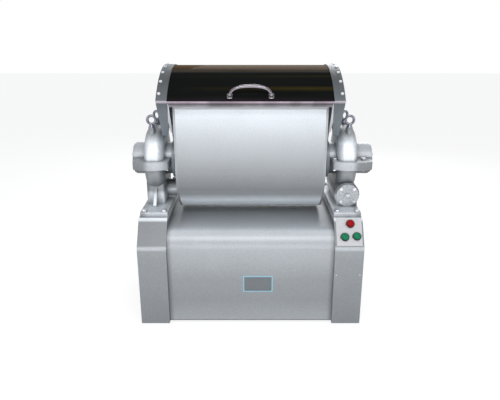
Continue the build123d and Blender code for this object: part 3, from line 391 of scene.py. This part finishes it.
def casting_painted_shade(tree):
    # Painted shade: the housings darken towards their outer sides and in their creases, with painted
    # highlights on the front faces and painted shade underneath, by height
    sides = between(tree, away(tree, "X", 0.488, 0.512), 0.55, 1.0)
    return [sides, painted_crease_shade(tree, 0.05, 0.5), toned(tree, "Z", [
        (0.515, 0.36), (0.532, 0.50), (0.540, 0.85), (0.560, 0.80), (0.590, 0.66), (0.606, 0.30),
        (0.640, 0.27), (0.663, 0.35), (0.700, 0.42), (0.722, 0.46), (0.728, 0.46), (0.764, 0.52),
        (0.768, 0.90), (0.845, 0.90), (0.868, 0.62), (0.885, 0.36), (0.915, 0.27)])]


def band_painted_shade(tree):
    # Painted shade on the lid's bands, darkest a little below the top
    return [toned(tree, "Z", [
        (1.060, 0.135), (1.110, 0.100), (1.150, 0.066), (1.180, 0.075), (1.200, 0.13)])]


def side_painted_shade(tree):
    # Painted shade on the lid's side covers: darker towards the top
    return [toned(tree, "Z", [
        (0.800, 0.30), (0.950, 0.31), (1.000, 0.27), (1.050, 0.20), (1.100, 0.10), (1.200, 0.08)])]


def end_painted_shade(tree):
    # Painted shade on the end plates: darker towards the bottom
    return [toned(tree, "Z", [(0.5, 0.25), (1.0, 0.45)])]


def worm_cover_tone(tree):
    return [toned(tree, "Z", [(0.5, 0.50), (0.65, 0.44)])]


def motor_tone(tree):
    return [toned(tree, "Z", [(0.0, 0.06), (1.0, 0.14)])]


def end_plate():
    """Enamel outside and brushed stainless towards the dough."""
    mat = hammered_paint("end_paint", TINT, end_painted_shade)
    tree = mat.node_tree
    shader = tree.nodes["Principled BSDF"]
    paint = shader.inputs["Base Color"].links[0].from_socket
    inner = faces_middle(tree)
    streaks = noise(tree, object_place(tree, (60.0, 1.0, 60.0)), 8.0, 4.0)
    steel = ramp(tree, streaks, [(0.3, (0.54, 0.55, 0.57)), (0.7, (0.68, 0.69, 0.71))])
    tree.links.new(blend(tree, inner, paint, steel), shader.inputs["Base Color"])
    tree.links.new(between(tree, inner, 0.3, 1.0), shader.inputs["Metallic"])
    return mat


def folded_paint(name, tone_and_painted_shade, painted_bright_inside):
    """Grey enamel with a painted highlight along the fold of its cut edge, and steel with a mirror polish
    towards the bowl, its bright reflection painted as near-white colour.
    """
    mat = hammered_paint(name, (0.88, 1.0, 1.10), tone_and_painted_shade, 0.2, 0.45, 0.7)
    tree = mat.node_tree
    shader = tree.nodes["Principled BSDF"]
    paint = shader.inputs["Base Color"].links[0].from_socket
    # Painted highlight: a pale pink line along the fold of the cut edge
    colour = blend(tree, edge_fold(tree), paint, even(tree, (0.60, 0.55, 0.62)))
    if painted_bright_inside:
        # Painted reflection: near-white on the faces towards the bowl
        colour = blend(tree, faces_middle(tree), colour, even(tree, (0.86, 0.87, 0.95)))
    tree.links.new(colour, shader.inputs["Base Color"])
    return mat


# The materials

panel_paint = hammered_paint("panel_paint", TINT, panel_painted_shade)
base_paint = hammered_paint("base_paint", TINT, cover_painted_shade)
pedestal_paint = hammered_paint("pedestal_paint", TINT, pedestal_painted_shade)
casting_paint = hammered_paint("casting_paint", TINT, casting_painted_shade, 0.35, 0.40, 1.4)
end_paint = end_plate()
band_paint = folded_paint("band_paint", band_painted_shade, False)
side_paint = folded_paint("side_paint", side_painted_shade, True)
stainless = brushed("stainless", (0.66, 0.67, 0.68), 0.25)
steel_bright = brushed("steel_bright", (0.62, 0.63, 0.67), 0.28, (30, 30, 30), 0.8)
eye_steel = brushed("eye_steel", (0.25, 0.26, 0.31), 0.30, (30, 30, 30), 0.7)
chrome = brushed("chrome", (0.22, 0.20, 0.225), 0.08, (20, 20, 20))
# Near-white and not metallic: painted highlights and painted reflections of bright polish
polished = brushed("polished", (0.97, 0.96, 1.0), 0.30, (8, 8, 8), 0.0)
cover_paint = hammered_paint("cover_paint", TINT, worm_cover_tone, 0.4, 0.35, 3.0)
dome_steel = brushed("dome_steel", (0.80, 0.82, 0.86), 0.3, (30, 30, 30), 0.25)
gear_steel = brushed("gear_steel", (0.42, 0.42, 0.43), 0.35, (20, 40, 40))
bronze = brushed("bronze", (0.56, 0.38, 0.18), 0.35, (20, 40, 40))
motor_paint = hammered_paint("motor_paint", (0.75, 0.95, 1.1), motor_tone, 0.1, 0.45)
rubber = plastic("rubber", (0.02, 0.02, 0.02), 0.7)
black_plastic = plastic("black_plastic", (0.020, 0.020, 0.022), 0.35)
red_plastic = plastic("red_plastic", (0.30, 0.002, 0.005), 0.4, shine=0.1)
green_plastic = plastic("green_plastic", (0.004, 0.17, 0.075), 0.4, shine=0.15)
plate_metal = brushed("plate_metal", (0.50, 0.50, 0.52), 0.45, (1, 40, 40), 0.2)
mirror_sheet = lid_mirror()
rim_metal = rim_chrome()

node_materials = {
    panel_paint: ["bowl_jacket"],
    end_paint: ["bowl_left_end", "bowl_right_end"],
    base_paint: ["base_cover", "rear_panel"],
    pedestal_paint: ["left_pedestal", "right_pedestal"],
    casting_paint: ["left_lower_housing", "right_lower_housing", "left_housing_cap", "right_housing_cap",
                    "bearing_covers"],
    band_paint: ["lid_bands"],
    side_paint: ["left_lid_side", "right_lid_side"],
    stainless: ["bowl_trough", "agitator_shaft", "agitator_arms", "agitator_blades"],
    steel_bright: ["bearing_cover_bolts", "worm_cover_bolts", "flange_bolts", "base_bolts", "trunnion_bolts"],
    eye_steel: ["left_eye_bolts", "right_eye_bolts"],
    cover_paint: ["worm_front_cover", "worm_rear_cover"],
    dome_steel: ["lid_bolts"],
    chrome: ["lid_handle"],
    rim_metal: ["bowl_rim"],
    gear_steel: ["left_trunnion", "right_trunnion", "worm", "main_gear", "pinion_shaft", "pinion",
                 "pinion_pulley", "motor_shaft", "motor_pulley"],
    bronze: ["trunnion_bushes", "left_shaft_bearing", "pinion_bush", "shaft_bushes", "worm_wheel"],
    motor_paint: ["base_frame", "motor_bed", "drive_gearbox", "drive_motor", "tilt_motor"],
    rubber: ["drive_belt", "shaft_seals"],
    black_plastic: ["button_bezels", "switch_bodies"],
    red_plastic: ["stop_button"],
    green_plastic: ["mix_button", "tilt_button"],
    plate_metal: ["control_plate"],
    mirror_sheet: ["lid_sheet"],
}
for material, names in node_materials.items():
    for name in names:
        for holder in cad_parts[name].material_slots:
            holder.material = material


# Mesh helpers

def add_piece(name, bm, material, body, smooth=True):
    """Turns a bmesh into a named piece that rides a body."""
    mesh = bpy.data.meshes.new(name)
    bm.to_mesh(mesh)
    bm.free()
    piece = bpy.data.objects.new(name, mesh)
    bpy.context.collection.objects.link(piece)
    mesh.materials.append(material)
    if smooth:
        for polygon in mesh.polygons:
            polygon.use_smooth = True
    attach(piece, body)
    return piece


def frame_at(place, out, across=Vector((1, 0, 0))):
    """A matrix whose Z points out and whose X runs across."""
    z = out.normalized()
    x = (across - z * across.dot(z)).normalized()
    y = z.cross(x)
    matrix = Matrix((x, y, z)).transposed().to_4x4()
    matrix.translation = place
    return matrix


def skin(bm, rows, closed=True):
    """Quads between each two neighbouring rows of vertices."""
    for low, high in zip(rows, rows[1:]):
        count = len(low)
        for i in range(count if closed else count - 1):
            j = (i + 1) % count
            bm.faces.new((low[i], low[j], high[j], high[i]))


def domed_disc(bm, matrix, radius, height, segments=24, rings=5):
    """A round head: a short wall under a domed top, closed below."""
    wall = height * 0.35
    rows = []
    for r, z in [(radius, 0.0), (radius, wall)] + [
            (radius * math.cos(a), wall + (height - wall) * math.sin(a))
            for a in [math.pi / 2 * k / rings for k in range(1, rings)]]:
        rows.append([bm.verts.new(matrix @ Vector((r * math.cos(t), r * math.sin(t), z)))
                     for t in [2 * math.pi * i / segments for i in range(segments)]])
    top = bm.verts.new(matrix @ Vector((0, 0, height)))
    skin(bm, rows)
    for i in range(segments):
        bm.faces.new((rows[-1][i], rows[-1][(i + 1) % segments], top))
    bm.faces.new(list(reversed(rows[0])))


def rounded_plate(bm, matrix, width, height, thick, corner, lift=0.0, segments=6):
    """A thin plate with round corners and a small bevel round its face."""
    def loop(inset, z):
        points = []
        for cx, cy, start in ((1, 1, 0), (-1, 1, 90), (-1, -1, 180), (1, -1, 270)):
            for k in range(segments + 1):
                a = math.radians(start + 90 * k / segments)
                r = max(corner - inset, corner * 0.3)
                x = cx * (width / 2 - corner) + r * math.cos(a)
                y = cy * (height / 2 - corner) + r * math.sin(a)
                points.append(bm.verts.new(matrix @ Vector((x, y, z))))
        return points
    bevel = min(thick * 0.4, 0.0006)
    loops = [loop(0, lift), loop(0, lift + thick - bevel), loop(bevel, lift + thick)]
    skin(bm, loops)
    bm.faces.new(loops[-1])
    bm.faces.new(list(reversed(loops[0])))


slope_dir = (SLOPE_END - KNEE).normalized()
slope_out = Vector((0, -slope_dir.z, slope_dir.y))


def on_slope(x, along, lift=0.0):
    """A frame on the sloped panel: along runs from the knee to the top, 0 to 1."""
    place = KNEE + (SLOPE_END - KNEE) * along + slope_out * lift
    place.x = x
    return frame_at(place, slope_out)


# Small things on the casing

def screws_on(name, spots, radius, height):
    """Plain domed screw heads on the frame."""
    bm = bmesh.new()
    for matrix in spots:
        domed_disc(bm, matrix, radius, height, 20, 4)
    add_piece(name, bm, steel_bright, "frame")


screws_on("control_plate_screws",
          [on_slope(PEDESTAL_MID + sx * 0.053, 0.53 + sy * 0.40, PANEL_T)
           for sx in (-1, 1) for sy in (-1, 1)], 0.0038, 0.0026)
screws_on("right_front_screws",
          [frame_at(Vector((x, -0.3484, 0.258)), FRONT) for x in (0.4055, 0.5165)], 0.0045, 0.002)
screws_on("rear_panel_screws",
          [frame_at(Vector((x, REAR_PANEL_Y, z)), BACK, LEFTWARD)
           for x in (-0.230, 0, 0.230) for z in (0.082, 0.308)], 0.0045, 0.003)


def nameplate():
    """A bare plate with a thin pale blue border."""
    blue, tree, shader = new_material("plate_border")
    fleck = noise(tree, object_place(tree), 300.0, 2.0)
    tree.links.new(ramp(tree, fleck, [(0.3, (0.22, 0.45, 0.58)), (0.7, (0.32, 0.58, 0.70))]),
                   shader.inputs["Base Color"])
    shader.inputs["Roughness"].default_value = 0.4
    face = brushed("plate_face", (0.17, 0.19, 0.205), 0.4, (2, 40, 40), 0.3)
    at = frame_at(Vector((0.035, COVER_FRONT_Y, 0.205)), FRONT)
    bm = bmesh.new()
    rounded_plate(bm, at, 0.141, 0.083, 0.0010, 0.006)
    add_piece("nameplate_border", bm, blue, "frame", False)
    bm = bmesh.new()
    rounded_plate(bm, at, 0.131, 0.073, 0.0006, 0.004, 0.0010)
    add_piece("nameplate_face", bm, face, "frame", False)


nameplate()


def handle_studs():
    """Dome nuts on the handle's feet."""
    centre = Vector((0, 0, AXIS_Z)) + HANDLE_OUT * (LID_R + 0.007)
    uphill = Vector((0, math.cos(HANDLE_TURN), math.sin(HANDLE_TURN)))
    bm = bmesh.new()
    for side in (-1, 1):
        for step in (-0.0105, 0.0105):
            place = centre + Vector((side * HANDLE_HALF, 0, 0)) + uphill * step
            domed_disc(bm, frame_at(place, HANDLE_OUT), 0.0032, 0.003, 16, 4)
    add_piece("handle_studs", bm, chrome, "lid")


handle_studs()


def button_cap(name, x, along, material):
    """A smaller domed cap on its stem, and a painted highlight: a near-white arc on the lower edge of its
    dark bezel.
    """
    bm = bmesh.new()
    domed_disc(bm, on_slope(x, along, 0.0156), 0.0168, 0.0074, 40, 7)
    domed_disc(bm, on_slope(x, along, -0.020), 0.0148, 0.0358, 32, 2)
    cap = add_piece(name + "_cap", bm, material, name)
    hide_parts(name + "_button")
    bm = bmesh.new()
    turns = [math.radians(200 + 140 * k / 24) for k in range(25)]
    at = on_slope(x, along, PANEL_T)
    rows = []
    for radius, lift in ((0.0222, 0.0), (0.0222, 0.0050), (0.0212, 0.0062), (0.0211, 0.0)):
        rows.append([bm.verts.new(at @ Vector((radius * math.cos(a), radius * math.sin(a), lift)))
                     for a in turns])
    skin(bm, rows + rows[:1], closed=False)
    bm.faces.new([row[0] for row in rows])
    bm.faces.new([row[-1] for row in reversed(rows)])
    bmesh.ops.recalc_face_normals(bm, faces=bm.faces)
    add_piece(name + "_glint", bm, polished, "frame")


button_cap("stop", PEDESTAL_MID + 0.006, 0.79, red_plastic)
button_cap("mix", PEDESTAL_MID - 0.022, 0.36, green_plastic)
button_cap("tilt", PEDESTAL_MID + 0.034, 0.38, green_plastic)


def side_liners():
    """Lips folded in along the front edges of the lid's side covers, near-white as a painted reflection of
    their polish.
    """
    root = math.sqrt(0.5)
    top_r, foot_r, outer = 0.4400, 0.225, 0.3745
    for side, word in ((-1, "left"), (1, "right")):
        bm = bmesh.new()
        rows = []
        for k in range(13):
            t = k / 12
            r = top_r - t * (top_r - foot_r)
            inner = 0.3570 + 0.0100 * t
            corners = []
            for x, back in ((outer, 0.0002), (inner, 0.0002), (inner, 0.0020), (outer, 0.0020)):
                y, z = -r * root + back * root, AXIS_Z + r * root + back * root
                corners.append(bm.verts.new((side * x, y, z)))
            rows.append(corners)
        skin(bm, rows)
        bm.faces.new(rows[0])
        bm.faces.new(list(reversed(rows[-1])))
        bmesh.ops.recalc_face_normals(bm, faces=bm.faces)
        add_piece(word + "_side_liner", bm, polished, "lid", False)


side_liners()


def louvre_shade_screen():
    """Dark woven screen behind the louvres: a dark sheet that paints the shade inside the base."""
    mat, tree, shader = new_material("shade_screen_mesh")
    weave = node(tree, "ShaderNodeTexChecker", Scale=400.0)
    weave.inputs["Color1"].default_value = (0.035, 0.037, 0.040, 1)
    weave.inputs["Color2"].default_value = (0.008, 0.008, 0.009, 1)
    tree.links.new(object_place(tree), weave.inputs["Vector"])
    tree.links.new(weave.outputs["Color"], shader.inputs["Base Color"])
    tree.links.new(between(tree, weave.outputs["Fac"], 0.5, 0.8), shader.inputs["Roughness"])
    bump(tree, shader, weave.outputs["Fac"], 0.3, 0.0004)
    bm = bmesh.new()
    at = frame_at(Vector((0, 0.3300, 0.194)), BACK, LEFTWARD)
    rounded_plate(bm, at, 0.400, 0.170, 0.0012, 0.008)
    add_piece("louvre_shade_screen", bm, mat, "frame", False)


louvre_shade_screen()


def worm_cover_plug():
    """A bright centre plug in the worm's front cover."""
    bm = bmesh.new()
    face_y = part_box("worm_front_cover")[0].y
    domed_disc(bm, frame_at(Vector((WORM_X, face_y, WORM_Z)), FRONT), 0.0075, 0.004, 24, 5)
    add_piece("worm_cover_plug", bm, steel_bright, "frame")


worm_cover_plug()


def bow_handle():
    """The lid's chrome bow: short legs that sweep into a low arch, a little thicker in the hand."""
    foot = HANDLE_OUT * LID_R + Vector((0, 0, AXIS_Z))
    steps, sides = 56, 20
    spine = []
    for k in range(steps + 1):
        t = math.pi * k / steps
        x = -HANDLE_HALF * math.copysign(abs(math.cos(t)) ** 0.86, math.cos(t))
        z = -0.008 + 0.0525 * math.sin(t) ** 0.62
        spine.append((Vector((x, 0, z)) + foot, 0.0068 + 0.0022 * math.sin(t) ** 6))
    bm = bmesh.new()
    rings = []
    depth = Vector((0, 1, 0))
    for k, (place, radius) in enumerate(spine):
        before, after = spine[max(k - 1, 0)][0], spine[min(k + 1, steps)][0]
        along = (after - before).normalized()
        side = along.cross(depth).normalized()
        rings.append([bm.verts.new(place + (side * math.cos(a) + depth * math.sin(a)) * radius)
                      for a in [2 * math.pi * i / sides for i in range(sides)]])
    skin(bm, rings)
    bm.faces.new(list(reversed(rings[0])))
    bm.faces.new(rings[-1])
    for s in (-1, 1):
        at = frame_at(Vector((s * HANDLE_HALF, 0, AXIS_Z)) + HANDLE_OUT * (LID_R - 0.001), HANDLE_OUT)
        rounded_plate(bm, at, 0.024, 0.030, 0.008, 0.006)
        knob = frame_at(at.translation + HANDLE_OUT * 0.006, Vector((0, 0, 1)))
        domed_disc(bm, knob, 0.0098, 0.012, 24, 5)
    bmesh.ops.recalc_face_normals(bm, faces=bm.faces)
    piece = add_piece("bow_handle", bm, chrome, "lid")
    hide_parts("lid_handle")


bow_handle()


# Floor, light and camera

def background_rays(tree):
    """1 for the rays that show the background: the camera's own, and those off metal and through glass."""
    path = node(tree, "ShaderNodeLightPath")
    shown = path.outputs["Is Camera Ray"]
    for kind in ("Is Glossy Ray", "Is Transmission Ray"):
        shown = maths(tree, "MAXIMUM", shown, path.outputs[kind])
    return shown


def floor_and_world():
    """A pale floor that keeps the object's shadow, and a soft white room."""
    bpy.ops.mesh.primitive_plane_add(size=30, location=(0, 0, -0.0005))
    floor = bpy.context.object
    floor.name = "floor"
    mat, tree, shader = new_material("floor_pale")
    shader.inputs["Roughness"].default_value = 0.7
    seen = background_rays(tree)
    tree.links.new(between(tree, seen, 0.40, 0.9), shader.inputs["Base Color"])
    glow = node(tree, "ShaderNodeEmission", Strength=1.12)
    glow.inputs["Color"].default_value = (1, 1, 1, 1)
    mix = node(tree, "ShaderNodeMixShader")
    tree.links.new(between(tree, seen, 0.0, 0.68), mix.inputs["Fac"])
    tree.links.new(shader.outputs["BSDF"], mix.inputs[1])
    tree.links.new(glow.outputs["Emission"], mix.inputs[2])
    tree.links.new(mix.outputs["Shader"], tree.nodes["Material Output"].inputs["Surface"])
    floor.data.materials.append(mat)

    world = bpy.data.worlds.new("studio")
    bpy.context.scene.world = world
    world.use_nodes = True
    tree = world.node_tree
    soft = tree.nodes["Background"]
    soft.inputs["Color"].default_value = (0.93, 0.95, 1.0, 1)
    soft.inputs["Strength"].default_value = 0.55
    white = node(tree, "ShaderNodeBackground", Strength=1.0)
    white.inputs["Color"].default_value = (1, 1, 1, 1)
    mix = node(tree, "ShaderNodeMixShader")
    tree.links.new(background_rays(tree), mix.inputs["Fac"])
    tree.links.new(soft.outputs["Background"], mix.inputs[1])
    tree.links.new(white.outputs["Background"], mix.inputs[2])
    tree.links.new(mix.outputs["Shader"], tree.nodes["World Output"].inputs["Surface"])


def area_light(name, place, target, size, power):
    data = bpy.data.lights.new(name, "AREA")
    data.shape = "RECTANGLE"
    data.size, data.size_y = size
    data.energy = power
    lamp = bpy.data.objects.new(name, data)
    bpy.context.collection.objects.link(lamp)
    lamp.location = place
    lamp.rotation_euler = (Vector(target) - Vector(place)).to_track_quat("-Z", "Y").to_euler()


floor_and_world()
area_light("key", (0.0, -2.6, 2.9), (0, 0, 0.7), (2.4, 1.0), 54.0)
area_light("left_fill", (-2.6, -1.6, 1.4), (0, 0, 0.6), (1.4, 1.4), 12.0)
area_light("low_fill", (0.0, -2.3, 0.25), (0, -0.2, 0.62), (2.2, 0.5), 12.0)
area_light("back_fill", (0.6, 2.8, 2.2), (0, 0, 0.6), (2.4, 1.4), 48.0)
area_light("right_fill", (2.6, -1.6, 1.4), (0, 0, 0.6), (1.4, 1.4), 12.0)

camera_data = bpy.data.cameras.new("camera")
camera_data.sensor_width = 36.0
camera_data.lens = FOCAL_PX / IMAGE_W * camera_data.sensor_width
camera = bpy.data.objects.new("camera", camera_data)
bpy.context.collection.objects.link(camera)
camera.location = (0.0, -2.6, 1.363)
camera.rotation_euler = (math.radians(90 - PITCH), 0, 0)
camera_data.shift_x = -0.6 / IMAGE_W
bpy.context.scene.camera = camera
bpy.context.scene.view_settings.view_transform = "Standard"
